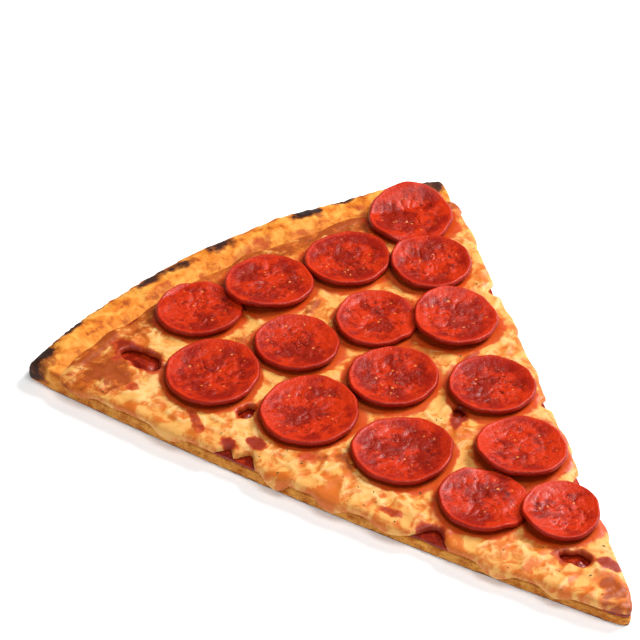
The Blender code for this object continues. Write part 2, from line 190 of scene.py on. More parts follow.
def turn(x, y):
    """The angle from the slice's middle line, positive towards +X, in degrees."""
    return np.degrees(np.arctan2(x, y - TIP_Y))


def bump_along(side_list, distance):
    """The largest of the bumps (place, half width, size) at that distance from the tip."""
    return np.max([size * smooth(width, 0, np.abs(distance - place)) for place, width, size in side_list], 0)


# %% [markdown]
# ## Outlines
# A knife cuts straight, but bread relaxes: both cuts bow out a little and the corners are round.
# `soften` rounds them with a weighted mean of neighbours, and `resample` puts points closer
# together where the outline turns.


# %% Outlines seen from above
def cut_point(side, distance, bow):
    """A point of a straight cut at that distance from the tip. side is -1 on the left."""
    angle = side * SLICE_ANGLE / 2
    out = bow * math.sin(math.pi * distance / PIZZA_RADIUS)
    x = distance * math.sin(angle) + side * math.cos(angle) * out
    y = TIP_Y + distance * math.cos(angle) - side * math.sin(angle) * out
    return x, y


def sector_ring(arc_inset):
    """The slice's outline, counter-clockwise from the tip, with its arc moved in by arc_inset(turn)."""
    fine = 0.5 * MM
    half = SLICE_ANGLE / 2
    steps = int(PIZZA_RADIUS * SLICE_ANGLE / fine)
    angles = half - SLICE_ANGLE * np.arange(steps + 1) / steps
    reach = PIZZA_RADIUS - arc_inset(np.degrees(angles))
    right = [cut_point(1, d, RIGHT_BOW) for d in np.arange(0, reach[0], fine)]
    arc = np.stack((reach * np.sin(angles), TIP_Y + reach * np.cos(angles)), 1)
    left = [cut_point(-1, d, LEFT_BOW) for d in np.arange(reach[-1], fine, -fine)]
    ring = np.vstack((right, arc, left))
    away = smooth(20 * MM, 40 * MM, from_tip(*ring.T))[:, None]
    return away * soften(ring, CORNER_SOFTNESS, fine) + (1 - away) * soften(ring, TIP_SOFTNESS, fine)


def soften(ring, reach, fine):
    count = int(3 * reach / fine)
    offsets = np.arange(-count, count + 1)
    weights = np.exp(-0.5 * (offsets * fine / reach) ** 2)
    weights /= weights.sum()
    return sum(w * np.roll(ring, -k, axis=0) for w, k in zip(weights, offsets))


def resample(ring, step, per_radian=2.2):
    """Points a step apart where a ring runs straight, and closer where it turns."""
    ahead = np.roll(ring, -1, axis=0) - ring
    length = np.hypot(*ahead.T)
    heading = np.arctan2(ahead[:, 1], ahead[:, 0])
    bend = np.abs((np.roll(heading, -1) - heading + math.pi) % (2 * math.pi) - math.pi)
    cost = np.concatenate(([0], np.cumsum(length / step + bend * per_radian)))
    wanted = np.linspace(0, cost[-1], max(8, round(cost[-1])), endpoint=False)
    closed = np.vstack((ring, ring[:1]))
    return np.stack([np.interp(wanted, cost, closed[:, k]) for k in (0, 1)], 1)


def outward(ring, passes=6):
    """Normals to the right of a ring's direction, evened out so that moved rings don't cross."""
    along = np.roll(ring, -1, axis=0) - np.roll(ring, 1, axis=0)
    along /= np.hypot(*along.T)[:, None]
    normals = np.stack((along[:, 1], -along[:, 0]), 1)
    for _ in range(passes):
        normals = (np.roll(normals, 1, axis=0) + 2 * normals + np.roll(normals, -1, axis=0)) / 4
    return normals


def blob_radius(hole, angle):
    """A hole's radius in one direction: an ellipse with a slow wobble."""
    x, y, a, b, tilt = hole
    t = angle - math.radians(tilt)
    ellipse = a * b / np.hypot(b * np.cos(t), a * np.sin(t))
    return ellipse * (1 + 0.10 * np.sin(3 * t + 900 * x) + 0.06 * np.sin(5 * t + 700 * y))


def blob_share(hole, x, y):
    """0 at a hole's middle and 1 on its outline."""
    dx, dy = x - hole[0], y - hole[1]
    return np.hypot(dx, dy) / blob_radius(hole, np.arctan2(dy, dx))


def hole_ring(hole, step):
    """A hole's outline, clockwise."""
    count = round(math.pi * (hole[2] + hole[3]) / step)
    turns = -2 * math.pi * np.arange(count) / count
    reach = blob_radius(hole, turns)
    return np.stack((hole[0] + reach * np.cos(turns), hole[1] + reach * np.sin(turns)), 1)


# %% [markdown]
# ## Heights
# Each layer is a height over the table at any place. The dough rises to its rim near the outer
# edge. Sauce lies on the dough, cheese lies on the sauce, and pepperoni lies on the cheese.


# %% The dough, the sauce and the cheese as heights
def dough_top(x, y):
    base = DOUGH_AT_TIP + (DOUGH_AT_RIM - DOUGH_AT_TIP) * (y - TIP_Y) / PIZZA_RADIUS
    inset = from_edge(x, y)
    crest = RIM_HEIGHT + RIM_WAVE * 2 * ripple(turn(x, y), 0, 6.5, 1)
    height = base + (crest - base) * smooth(RIM_FOOT, RIM_CREST, inset)
    height -= np.where(inset < RIM_CREST, 0.28 * crest * ((RIM_CREST - inset) / RIM_CREST) ** 2, 0)
    for degrees, blister_inset, radius, rise in BLISTERS:
        sideways = np.radians(turn(x, y) - degrees) * from_tip(x, y)
        height += rise * smooth(1, 0, np.hypot(sideways, inset - blister_inset) / radius)
    return height


def sauce_thickness(x, y):
    return SAUCE * (0.32 + 0.68 * smooth(SAUCE_INSET, SAUCE_INSET + SAUCE_TAPER, from_edge(x, y)))


def cheese_bottom(x, y):
    return dough_top(x, y) + sauce_thickness(x, y) + 2 * GAP


def sauce_top(x, y):
    """The sauce is a flat layer, and wells up in the holes of the cheese."""
    well = np.max([smooth(0.66, 0.3, blob_share(hole, x, y)) for hole in SAUCE_HOLES], 0)
    return dough_top(x, y) + sauce_thickness(x, y) + GAP + SAUCE_POOL * well


def pepperoni_clear(x, y):
    """Distance from the nearest slice of pepperoni's edge."""
    return np.min([np.hypot(x - px, y - py) - radius for px, py, radius, _ in PEPPERONI], 0)


def cheese_smooth(x, y):
    """The cheese's top without its lumps."""
    taper = 0.35 + 0.65 * smooth(CHEESE_INSET, CHEESE_INSET + CHEESE_TAPER, from_edge(x, y))
    wave = CHEESE_WAVE * 1.6 * ripple(x, y, 26 * MM, 2)
    return cheese_bottom(x, y) + (CHEESE + wave) * taper


def cup_rise(number, x, y):
    """How far a slice's curled edge stands up: less where it lies under or over another slice."""
    px, py, radius, over = PEPPERONI[number]
    share = np.hypot(x - px, y - py) / radius
    free = 1.0
    for upper in over:
        ux, uy, upper_radius, _ = PEPPERONI[upper]
        free = np.minimum(free, smooth(1 * MM, 8 * MM, np.hypot(x - ux, y - uy) - upper_radius))
    for lx, ly, lower_radius, above in PEPPERONI:
        if number in above:
            past = smooth(-2 * MM, 6 * MM, np.hypot(x - lx, y - ly) - lower_radius)
            free = np.minimum(free, 0.3 + 0.7 * past)
    lean = 0.25 * np.sin(np.arctan2(y - py, x - px) * 2 + number)
    return PEPPERONI_CUP * (1 + lean) * share**2.4 * free


def pepperoni_bottom(number, x, y):
    """What a slice rests on: the cheese or the rim, and tipped up onto the edge of another slice."""
    patch = 2.2 * MM
    around = [k * math.pi / 3 for k in range(6)]
    places = [(x, y)] + [(x + patch * math.cos(t), y + patch * math.sin(t)) for t in around]
    height = GAP + np.max([np.maximum(cheese_smooth(*p), dough_top(*p)) for p in places], 0)
    px, py, radius, _ = PEPPERONI[number]
    for lx, ly, _, above in PEPPERONI:
        if number in above:
            towards = ((x - px) * (lx - px) + (y - py) * (ly - py)) / math.hypot(lx - px, ly - py)
            height += PEPPERONI_LIFT * np.clip((1 + towards / radius) / 2, 0, None) ** 1.5
    return height


# %% [markdown]
# ## Turning outlines and heights into a closed mesh
# A layer is a wall that follows its outline and a triangulated top and bottom. Blender's own
# Delaunay triangulation joins the outline to a hexagonal grid of loose points, which keeps the
# triangles even, so that fine relief comes out the same all over.


# %% Layers as closed meshes
def edge_distance(points, ring):
    """The distance from each point to a ring's nearest point."""
    parts = [points[k : k + 1500] for k in range(0, len(points), 1500)]
    return np.concatenate([np.hypot(*np.moveaxis(part[:, None] - ring, 2, 0)).min(1) for part in parts])


def inside(points, ring):
    """Whether each point lies inside a ring, by counting the sides to its right."""
    a, b = ring, np.roll(ring, -1, axis=0)
    rise = np.where(b[:, 1] == a[:, 1], 1, b[:, 1] - a[:, 1])
    found = []
    for k in range(0, len(points), 3000):
        x, y = points[k : k + 3000, :1], points[k : k + 3000, 1:]
        spans = (a[:, 1] > y) != (b[:, 1] > y)
        crossing = a[:, 0] + (y - a[:, 1]) * (b[:, 0] - a[:, 0]) / rise
        found.append((spans & (crossing > x)).sum(1) % 2 == 1)
    return np.concatenate(found)


def hexagon_grid(rings, spacing, keep=None):
    """Points a spacing apart inside the first ring, outside the others, and clear of them all."""
    low, high = rings[0].min(0), rings[0].max(0)
    rows = np.arange(low[1], high[1], spacing * math.sqrt(3) / 2)
    columns = np.arange(low[0], high[0], spacing)
    x = columns[None] + np.where(np.arange(len(rows)) % 2, spacing / 2, 0)[:, None]
    points = np.stack((x, np.broadcast_to(rows[:, None], x.shape)), 2).reshape(-1, 2)
    if keep is not None:
        points = points[keep(*points.T)]
    points = points[inside(points, rings[0])]
    for hole in rings[1:]:
        points = points[~inside(points, hole)]
    for ring in rings:
        points = points[edge_distance(points, ring) > 0.62 * spacing]
    return points


def triangles(rings, loose):
    """Delaunay triangles between rings and loose points, as indices into them in that order."""
    every = np.vstack((*rings, loose))
    sides, first = [], 0
    for ring in rings:
        sides += [(first + k, first + (k + 1) % len(ring)) for k in range(len(ring))]
        first += len(ring)
    found = geometry.delaunay_2d_cdt([Vector(p) / MM for p in every], sides, [], 0, 1e-6)
    crossings = [tuple(place) for place, origins in zip(found[0], found[3]) if not origins]
    if crossings:
        raise ValueError(f"an outline crosses itself near {crossings[:5]}, in mm")
    index = [origins[0] for origins in found[3]]
    faces = np.array([[index[v] for v in face] for face in found[2]])
    middles = every[faces].mean(1)
    good = inside(middles, rings[0])
    for hole in rings[1:]:
        good &= ~inside(middles, hole)
    return faces[good]


def layer_mesh(name, rings, wall, top, bottom, top_points, bottom_points):
    """A closed layer. wall(number, x, y) gives a wall's levels, bottom first, as (outward, z)."""
    places, faces, borders = [], [], []
    count = 0
    for number, ring in enumerate(rings):
        normals = outward(ring)
        levels = [(ring + normals * np.reshape(out, (-1, 1)), z) for out, z in wall(number, *ring.T)]
        for flat, z in levels:
            places.append(np.column_stack((flat, np.broadcast_to(z, len(ring)))))
        k = np.arange(len(ring))
        after = (k + 1) % len(ring)
        for level in range(len(levels) - 1):
            low, high = count + level * len(ring), count + (level + 1) * len(ring)
            faces += [(low + k, low + after, high + after), (low + k, high + after, high + k)]
        borders.append((levels[-1][0], count + (len(levels) - 1) * len(ring), levels[0][0], count))
        count += len(levels) * len(ring)
    for upper, height, loose_of in ((True, top, top_points), (False, bottom, bottom_points)):
        flats = [border[0 if upper else 2] for border in borders]
        firsts = [border[1 if upper else 3] for border in borders]
        loose = loose_of(flats)
        index = [first + np.arange(len(flat)) for first, flat in zip(firsts, flats)]
        index = np.concatenate((*index, count + np.arange(len(loose))))
        a, b, c = index[triangles(flats, loose)].T
        faces.append((a, b, c) if upper else (c, b, a))
        places.append(np.column_stack((loose, np.broadcast_to(height(*loose.T), len(loose)))))
        count += len(loose)
    return shape(name, np.vstack(places), np.hstack([np.stack(f) for f in faces]).T)


def shape(name, places, faces):
    """A smooth-shaded object at the origin that rides on the slice."""
    mesh = bpy.data.meshes.new(name)
    mesh.from_pydata(places.tolist(), [], faces.tolist())
    mesh.shade_smooth()
    piece = bpy.data.objects.new(name, mesh)
    bpy.context.scene.collection.objects.link(piece)
    print(name, len(mesh.vertices), "points,", len(mesh.polygons), "triangles")
    return piece


def points_of(piece):
    """A piece's points as three arrays."""
    flat = np.empty(3 * len(piece.data.vertices))
    piece.data.vertices.foreach_get("co", flat)
    return flat.reshape(-1, 3).T


def paint(piece, name, values):
    """Keeps one number for each point, for the finish to read."""
    spread = np.broadcast_to(values, len(piece.data.vertices))
    held = piece.data.attributes.new(name, "FLOAT", "POINT")
    held.data.foreach_set("value", np.ascontiguousarray(spread, float))


# %% [markdown]
# ## Finishes as sums
# A finish is a small graph of shader nodes. Writing it as sums keeps it readable: `Wire` wraps one
# output of a node, and its operators add Math nodes. Colours never go through Math nodes, because
# those would turn them grey, so `blend` mixes them.


# %% A small language for finishes
def srgb(red, green, blue):
    """A colour as a picture stores it, from 0 to 255, turned into the light that Blender works with."""
    parts = [value / 255 for value in (red, green, blue)]
    return (*[p / 12.92 if p <= 0.04045 else ((p + 0.055) / 1.055) ** 2.4 for p in parts], 1)


class Wire:
    """One output of a shader node. Sums on it add Math nodes."""

    def __init__(self, finish, socket):
        self.finish, self.socket = finish, socket

    def sum(self, operation, first, second):
        return self.finish.node("ShaderNodeMath", {"operation": operation}, {0: first, 1: second})

    def __add__(self, other):
        return self.sum("ADD", self, other)

    def __radd__(self, other):
        return self.sum("ADD", other, self)

    def __sub__(self, other):
        return self.sum("SUBTRACT", self, other)

    def __rsub__(self, other):
        return self.sum("SUBTRACT", other, self)

    def __mul__(self, other):
        return self.sum("MULTIPLY", self, other)

    def steps(self, low, high):
        """0 below low, 1 above high, and a smooth rise between them."""
        return self.finish.node(
            "ShaderNodeMapRange", {"interpolation_type": "SMOOTHSTEP"}, {0: self, 1: low, 2: high}
        )


class Finish:
    """A material with one Principled shader, and the nodes that lead to it."""

    def __init__(self, name):
        self.material = bpy.data.materials.new(name)
        self.material.use_nodes = True
        self.tree = self.material.node_tree
        self.shader = self.tree.nodes["Principled BSDF"]
        self.place = self.node("ShaderNodeTexCoord", output="Object")

    def join(self, socket, value):
        if isinstance(value, Wire):
            self.tree.links.new(value.socket, socket)
        else:
            socket.default_value = value

    def node(self, kind, settings=None, sockets=None, output=0):
        made = self.tree.nodes.new(kind)
        for key, value in (settings or {}).items():
            setattr(made, key, value)
        for key, value in (sockets or {}).items():
            self.join(made.inputs[key], value)
        return Wire(self, made.outputs[output])

    def moved(self, by):
        """The place on the slice, moved, so that no two patterns are alike."""
        return self.node("ShaderNodeVectorMath", {"operation": "ADD"}, {0: self.place, 1: by})

    def noise(self, size, detail=3.0, roughness=0.55, offset=0.0, distortion=0.0):
        """Cloudy noise whose patches are about that size in metres, from 0 to 1."""
        place = self.moved((offset, 2 * offset, 0))
        sockets = {"Vector": place, "Scale": 1 / size, "Detail": detail, "Roughness": roughness}
        return self.node("ShaderNodeTexNoise", None, {**sockets, "Distortion": distortion})

    def cells(self, size, offset):
        """Distances from the middles in a pattern of cells of that size in metres."""
        sockets = {"Vector": self.moved((offset, offset, offset)), "Scale": 1 / size, "Randomness": 1.0}
        return self.node("ShaderNodeTexVoronoi", {"feature": "F1"}, sockets, "Distance")

    def painted(self, name):
        return self.node("ShaderNodeAttribute", {"attribute_name": name}, output="Fac")

    def blend(self, first, second, mask):
        """Two colours, the second showing where mask is 1."""
        settings = {"data_type": "RGBA", "blend_type": "MIX", "clamp_factor": True}
        return self.node("ShaderNodeMix", settings, {0: mask, 6: first, 7: second}, 2)

    def bump(self, height, distance, strength=1.0):
        """Fine relief: height from 0 to 1 stands for distance in metres."""
        sockets = {"Height": height, "Distance": distance, "Strength": strength}
        return self.node("ShaderNodeBump", None, sockets)

    def set(self, **sockets):
        for key, value in sockets.items():
            self.join(self.shader.inputs[key.replace("_", " ")], value)


# %% [markdown]
# ## The dough
# Real pizza dough bakes golden, blisters along the rim and chars where it touches the oven wall. A
# cut shows a pale crumb with small holes over a thin brown base. The rim and the cuts are what one
# sees, so only they are made fine. What the cheese hides stays coarse.


# %% The dough's mesh
FINE = 1.1 * MM  # between points that are seen
HIDDEN = 12 * MM  # between points of the dough that nothing shows
UNDER = 4 * MM  # between points on the underside of the sauce and the cheese
# A dark blister: turn in degrees, distance in from the outer edge, size along the edge, size across
CHAR_SPOTS = (
    (-21.5, 4 * MM, 12 * MM, 5 * MM, 0.9),
    (-17.5, 3 * MM, 14 * MM, 3.5 * MM, 0.8),
    (-13.5, 2 * MM, 8 * MM, 3 * MM, 0.6),
    (-7.5, 5 * MM, 12 * MM, 4 * MM, 0.75),
    (-4.7, 6 * MM, 7 * MM, 5 * MM, 0.7),
    (0.2, 6 * MM, 11 * MM, 5 * MM, 0.8),
    (9.0, 5 * MM, 10 * MM, 6 * MM, 1.0),
    (13.0, 3 * MM, 9 * MM, 3.5 * MM, 0.7),
    (19.0, 3 * MM, 12 * MM, 4 * MM, 0.9),
    (21.6, 6 * MM, 6 * MM, 6 * MM, 0.8),
)


def dough_relief(x, y):
    """Small bubbles and wrinkles of the rim's skin."""
    near = smooth(RIM_FOOT + 4 * MM, RIM_FOOT - 8 * MM, from_edge(x, y))
    bubbles = 0.55 * MM * np.maximum(0, ripple(x, y, 7 * MM, 11)) + 0.28 * MM * ripple(x, y, 3.4 * MM, 12)
    return near * (bubbles + 0.10 * MM * ripple(x, y, 1.6 * MM, 13))


def dough_wall(_, x, y):
    rim = smooth(12 * MM, 3 * MM, from_edge(x, y))
    rounding = 0.45 + 0.55 * rim
    height = dough_top(x, y) + dough_relief(x, y)
    along = from_tip(x, y) + 500 * MM * (x > 0)
    levels = []
    for share in np.linspace(0, 1, 16):
        inset = np.interp(share, (0, 0.10, 0.34, 0.68, 0.90, 1.0), (1.6, 0.5, 0.0, 0.2, 0.8, 1.8)) * MM
        open_part = math.sin(math.pi * min(1, share * 1.15)) ** 0.5 if share < 0.87 else 0.3
        z = share * height
        bubbles = 0.55 * MM * np.abs(ripple(along, z * 1.6, 5.0 * MM, 14))
        crumb = bubbles + 0.45 * MM * ripple(along, z * 1.8, 1.9 * MM, 15)
        crumb += 0.5 * MM * smooth(0.25, 0.5, ripple(along, z * 2.0, 2.6 * MM, 16))
        skin = 0.35 * MM * ripple(along + 3 * x, z, 6 * MM, 17)
        grain = (1 - rim) * crumb * open_part + rim * skin * math.sin(math.pi * share)
        levels.append((-inset * rounding - np.maximum(grain, -0.1 * MM), z))
    return levels


dough = layer_mesh(
    "dough_baked",
    [resample(sector_ring(lambda degrees: 0 * degrees), FINE)],
    dough_wall,
    lambda x, y: dough_top(x, y) + dough_relief(x, y),
    lambda x, y: 0 * x,
    lambda flats: np.vstack(
        (
            hexagon_grid(flats, FINE, lambda x, y: from_edge(x, y) < RIM_FOOT + 4 * MM),
            hexagon_grid(flats, HIDDEN, lambda x, y: from_edge(x, y) > RIM_FOOT + 10 * MM),
        )
    ),
    lambda flats: hexagon_grid(flats, HIDDEN),
)

# %% Where the dough is dark, brown or pale
x, y, z = points_of(dough)
inset = from_edge(x, y)
char = 0 * x
for degrees, spot_inset, along, across, strength in CHAR_SPOTS:
    sideways = np.radians(turn(x, y) - degrees) * from_tip(x, y)
    reach = np.hypot(sideways / along, (inset - spot_inset) / across)
    reach = reach + 0.35 * ripple(x, y, 5 * MM, 21) + 0.25 * ripple(x, y, 2 * MM, 22)
    char = np.maximum(char, strength * smooth(1.05, 0.35, reach))
low_edge = smooth(5.5 * MM, 0.5 * MM, z) * smooth(7 * MM, 1 * MM, inset)
corner = smooth(-18.5, -21.5, turn(x, y) + 0.8 * ripple(x, y, 6 * MM, 23)) * smooth(16 * MM, 5 * MM, inset)
char = np.maximum(char, 0.75 * corner)
smear = smooth(0.05, 0.45, ripple(x, y, 9 * MM, 24)) * smooth(6 * MM, 11 * MM, inset)
smear *= smooth(-19, -12, turn(x, y))
paint(dough, "smear", 0.8 * smear)
paint(dough, "char", np.clip(char * smooth(0.5 * MM, 3 * MM, z) + 0.75 * low_edge, 0, 1))
paint(dough, "rim", smooth(RIM_FOOT + 2 * MM, 8 * MM, inset))
paint(dough, "low", smooth(1.1 * MM, 0.25 * MM, z))
paint(dough, "skin", smooth(9 * MM, 5 * MM, inset))
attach(dough, "root")
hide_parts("dough")

# %% [markdown]
# ### The dough's finish
# Baked crust isn't one colour. Broad noise turns it from pale gold to orange brown, the painted
# spots add char, and a fine bump gives the dry, floury skin.

# %% The dough's finish
baked = Finish("baked dough")
broad = baked.noise(14 * MM, 3, 0.6, 0.3, 0.5)
mottle = baked.noise(4.5 * MM, 4, 0.6, 1.7, 0.5)
grit = baked.noise(0.8 * MM, 3, 0.6, 2.9)
grainy = (mottle * 0.65 + grit * 0.35).steps(0.38, 0.62)
golden = (broad * 0.5 + mottle * 0.5).steps(0.38, 0.56)
toasted = (broad * 0.4 + mottle * 0.6).steps(0.52, 0.64)
smeared = (baked.painted("smear") + (mottle - 0.5)).steps(0.35, 0.9)
crumb_colour = baked.blend(srgb(230, 160, 66), srgb(188, 100, 18), grainy)
crust_colour = baked.blend(srgb(236, 166, 70), srgb(218, 120, 22), golden)
crust_colour = baked.blend(crust_colour, srgb(156, 64, 6), toasted * 0.9)
crust_colour = baked.blend(crust_colour, srgb(168, 48, 8), smeared * 0.85)
colour = baked.blend(crumb_colour, crust_colour, baked.painted("rim"))
colour = baked.blend(colour, srgb(94, 48, 18), baked.painted("low"))
dark = (baked.painted("char") + (mottle - 0.5) * 0.9 + (grit - 0.5) * 0.3).steps(0.08, 1.0)
colour = baked.blend(colour, srgb(150, 74, 16), dark.steps(0.0, 0.45) * 0.85)
colour = baked.blend(colour, srgb(66, 28, 10), dark.steps(0.40, 0.85))
colour = baked.blend(colour, srgb(34, 16, 9), dark.steps(0.85, 1.0) * 0.8)
relief = mottle * 0.55 + grit * 0.45
baked.set(Base_Color=colour, Roughness=0.58 + mottle * 0.2, Normal=baked.bump(relief, 0.6 * MM, 0.8))
baked.set(Specular_IOR_Level=0.25, Subsurface_Weight=0.05, Subsurface_Scale=2 * MM)
dough.data.materials.append(baked.material)

# %% [markdown]
# ## The sauce
# Sauce shows only where the cheese has opened: in small holes and in notches at the cuts. It is
# wet and lumpy, so it gets pulp bumps and a low roughness.


# %% The sauce
def sauce_relief(x, y):
    """Pulp, where the sauce shows."""
    seen = np.max([smooth(0.9, 0.5, blob_share(hole, x, y)) for hole in SAUCE_HOLES], 0)
    return seen * (0.28 * MM * ripple(x, y, 2.6 * MM, 31) + 0.12 * MM * ripple(x, y, 1.1 * MM, 32))


def sauce_wall(_, x, y):
    inset = 0.5 * MM + 0.4 * MM * ripple(x, y, 8 * MM, 6)
    bottom, top = dough_top(x, y) + GAP, sauce_top(x, y)
    levels = []
    for share in np.linspace(0, 1, 6):
        bulge = 0.15 * MM * math.sin(math.pi * share) - 0.1 * MM * share
        rough = 0.12 * MM * ripple(x + y, bottom + 40 * share * MM, 3 * MM, 33)
        levels.append((-inset + bulge + rough, bottom + share * (top - bottom)))
    return levels


def near_hole(x, y):
    return np.min([blob_share(hole, x, y) for hole in SAUCE_HOLES], 0) < 1.5


sauce = layer_mesh(
    "sauce_layer",
    [resample(sector_ring(lambda degrees: SAUCE_INSET + 1.5 * MM * ripple(degrees, 0, 3, 5)), 1.4 * MM)],
    sauce_wall,
    lambda x, y: sauce_top(x, y) + sauce_relief(x, y),
    lambda x, y: dough_top(x, y) + GAP,
    lambda flats: np.vstack(
        (
            hexagon_grid(flats, 0.7 * MM, near_hole),
            hexagon_grid(flats, 3.2 * MM, lambda x, y: ~near_hole(x, y)),
        )
    ),
    lambda flats: hexagon_grid(flats, UNDER),
)
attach(sauce, "root")
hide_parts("sauce")

tomato = Finish("tomato sauce")
pulp = tomato.noise(3.5 * MM, 4, 0.6, 4.1)
seed = tomato.noise(1.2 * MM, 3, 0.6, 5.2)
relief = pulp * 0.6 + seed * 0.4
colour = tomato.blend(srgb(124, 20, 3), srgb(172, 46, 8), relief.steps(0.42, 0.62))
tomato.set(Base_Color=colour, Roughness=0.22 + pulp * 0.25, Normal=tomato.bump(relief, 0.5 * MM, 0.7))
tomato.set(Coat_Weight=0.1, Coat_Roughness=0.12, Specular_IOR_Level=0.3)
sauce.data.materials.append(tomato.material)

# %% [markdown]
# ## The cheese
# Shredded mozzarella melts from its ends inwards: what is left of the shreds shows as short soft
# ridges, most of all along the front cut where less heat reaches. Cheese also creeps up a little
# against each slice of pepperoni, and runs down over the cuts in lobes.

# %% Shreds that are still a little raised
rng = np.random.default_rng(41)
SHRED_COUNT = 420
shreds = []
while len(shreds) < SHRED_COUNT:
    distance, degrees = PIZZA_RADIUS * 0.93 * math.sqrt(rng.random()), rng.uniform(-22, 22)
    sx = distance * math.sin(math.radians(degrees))
    sy = TIP_Y + distance * math.cos(math.radians(degrees))
    front = max(0.0, (-degrees - 6) / 16) + max(0.0, (degrees - 12) / 16)
    if rng.random() < 0.35 + front and pepperoni_clear(sx, sy) > 2 * MM:
        length, width = rng.uniform(3, 9) * MM, rng.uniform(1.1, 2.0) * MM
        shreds.append((sx, sy, rng.uniform(0, math.pi), length, width, rng.uniform(0.4, 1.0) * 0.8 * MM))
print("shreds:", len(shreds))


def shred_height(x, y):
    """The highest of the shreds at each point: each is a rounded ridge along a short line."""
    height = 0 * x
    for sx, sy, angle, length, width, rise in shreds:
        near = np.flatnonzero((np.abs(x - sx) < length + width) & (np.abs(y - sy) < length + width))
        if len(near):
            dx, dy = x[near] - sx, y[near] - sy
            along = dx * math.cos(angle) + dy * math.sin(angle)
            bend = 0.6 * MM * np.sin(along / (2.2 * MM) + sx * 900)
            across = -dx * math.sin(angle) + dy * math.cos(angle) + bend
            past = np.maximum(0, np.abs(along) - length / 2)
            height[near] = np.maximum(height[near], rise * smooth(1, 0, np.hypot(past, across) / width))
    return height


def cheese_relief(x, y):
    clear = pepperoni_clear(x, y)
    taper = 0.35 + 0.65 * smooth(CHEESE_INSET, CHEESE_INSET + CHEESE_TAPER, from_edge(x, y))
    free = smooth(0.5 * MM, 4 * MM, clear)
    lump = CHEESE_LUMP * 1.3 * np.maximum(0, ripple(x, y, 9 * MM, 3))
    fine = 0.14 * MM * ripple(x, y, 3.0 * MM, 42) + 0.22 * MM * ripple(x, y, 5.5 * MM, 43)
    collar = 0.35 * MM * smooth(4 * MM, 0.8 * MM, clear) * smooth(-1.5 * MM, 0.5 * MM, clear)
    return taper * (free * (lump + fine + shred_height(x, y)) + collar)


# %% The cheese's mesh
def cheese_wall(number, x, y):
    bottom, top = cheese_bottom(x, y), cheese_smooth(x, y) + cheese_relief(x, y)
    thick = top - bottom
    if number:
        melt = 0.15 * MM * ripple(x, y, 2.2 * MM, 44)
        profile = ((-0.2, 0), (0.1, 0.15), (0.15, 0.35), (0.05, 0.55), (-0.3, 0.75), (-0.7, 0.9), (-1.2, 1.0))
        return [(out * MM + melt, bottom + up * thick) for out, up in profile]
    distance = from_tip(x, y)
    left = x < 0
    notch = np.where(left, bump_along(LEFT_NOTCHES, distance), bump_along(RIGHT_NOTCHES, distance))
    drip = np.where(left, bump_along(LEFT_DRIPS, distance), bump_along(RIGHT_DRIPS, distance))
    cut = smooth(CHEESE_INSET + 4 * MM, CHEESE_INSET + 10 * MM, from_edge(x, y))
    cut = cut * smooth(0.3 * MM, 0, notch) * smooth(9 * MM, 16 * MM, distance)
    along = distance + 500 * MM * (x > 0)
    small = 0.9 * MM * np.maximum(0, ripple(along, 0, 5.5 * MM, 45)) * cut
    share = np.clip(drip / (4.6 * MM), 0, 1) * cut
    drop, swell = 4.6 * MM * share + small, DRIP_THICKNESS * np.minimum(1, 2 * share) + 0.4 * small
    arc = smooth(CHEESE_INSET + 9 * MM, CHEESE_INSET + 5 * MM, from_edge(x, y))
    drop, swell = drop + 0.45 * MM * arc, swell + 1.9 * MM * arc
    hug = 0.36 * MM * cut - 0.3 * MM * (1 - cut)
    tuck = 1.0 * MM + 0.6 * MM * smooth(10 * MM, 30 * MM, distance)
    profile = (
        (hug, bottom),
        (hug + 0.06 * MM, bottom - drop * 0.75),
        (hug + 0.12 * MM + 0.3 * swell, bottom - drop * 0.97),
        (hug + 0.12 * MM + 0.65 * swell, bottom - drop * 0.93),
        (hug + 0.22 * MM + 0.9 * swell, bottom - drop * 0.72),
        (hug + 0.25 * MM + swell, bottom - drop * 0.45 + 0.15 * thick),
        (hug + 0.24 * MM + 0.85 * swell, bottom - drop * 0.15 + 0.30 * thick),
        (hug + 0.2 * MM + 0.6 * swell, bottom + 0.48 * thick),
        (hug + 0.1 * MM + 0.35 * swell, bottom + 0.64 * thick),
        (hug - 0.15 * tuck + 0.1 * swell, bottom + 0.78 * thick),
        (hug - 0.45 * tuck, top - 0.11 * thick),
        (hug - tuck, top),
    )
    last = len(profile) - 1
    levels = []
    for k, (out, z) in enumerate(profile):
        rough = 0.16 * MM * ripple(along, k * 0.8 * MM, 2.4 * MM, 46) * (0 < k < last)
        levels.append((out + rough, z))
    return levels


def cheese_outline():
    def arc_inset(degrees):
        slow = 2.5 * MM * 1.6 * ripple(degrees, 0, 3.5, 7)
        return CHEESE_INSET + slow + 0.9 * MM * ripple(degrees, 0, 0.9, 47)

    ring = resample(sector_ring(arc_inset), 1.0 * MM)
    distance = from_tip(*ring.T)
    sides = np.where(ring[:, 0] < 0, bump_along(LEFT_NOTCHES, distance), bump_along(RIGHT_NOTCHES, distance))
    return ring - outward(ring) * sides[:, None]


cheese = layer_mesh(
    "cheese_melted",
    [cheese_outline()] + [hole_ring(hole, 0.9 * MM) for hole in SAUCE_HOLES],
    cheese_wall,
    lambda x, y: cheese_smooth(x, y) + cheese_relief(x, y),
    cheese_bottom,
    lambda flats: hexagon_grid(flats, FINE),
    lambda flats: hexagon_grid(flats, UNDER),
)

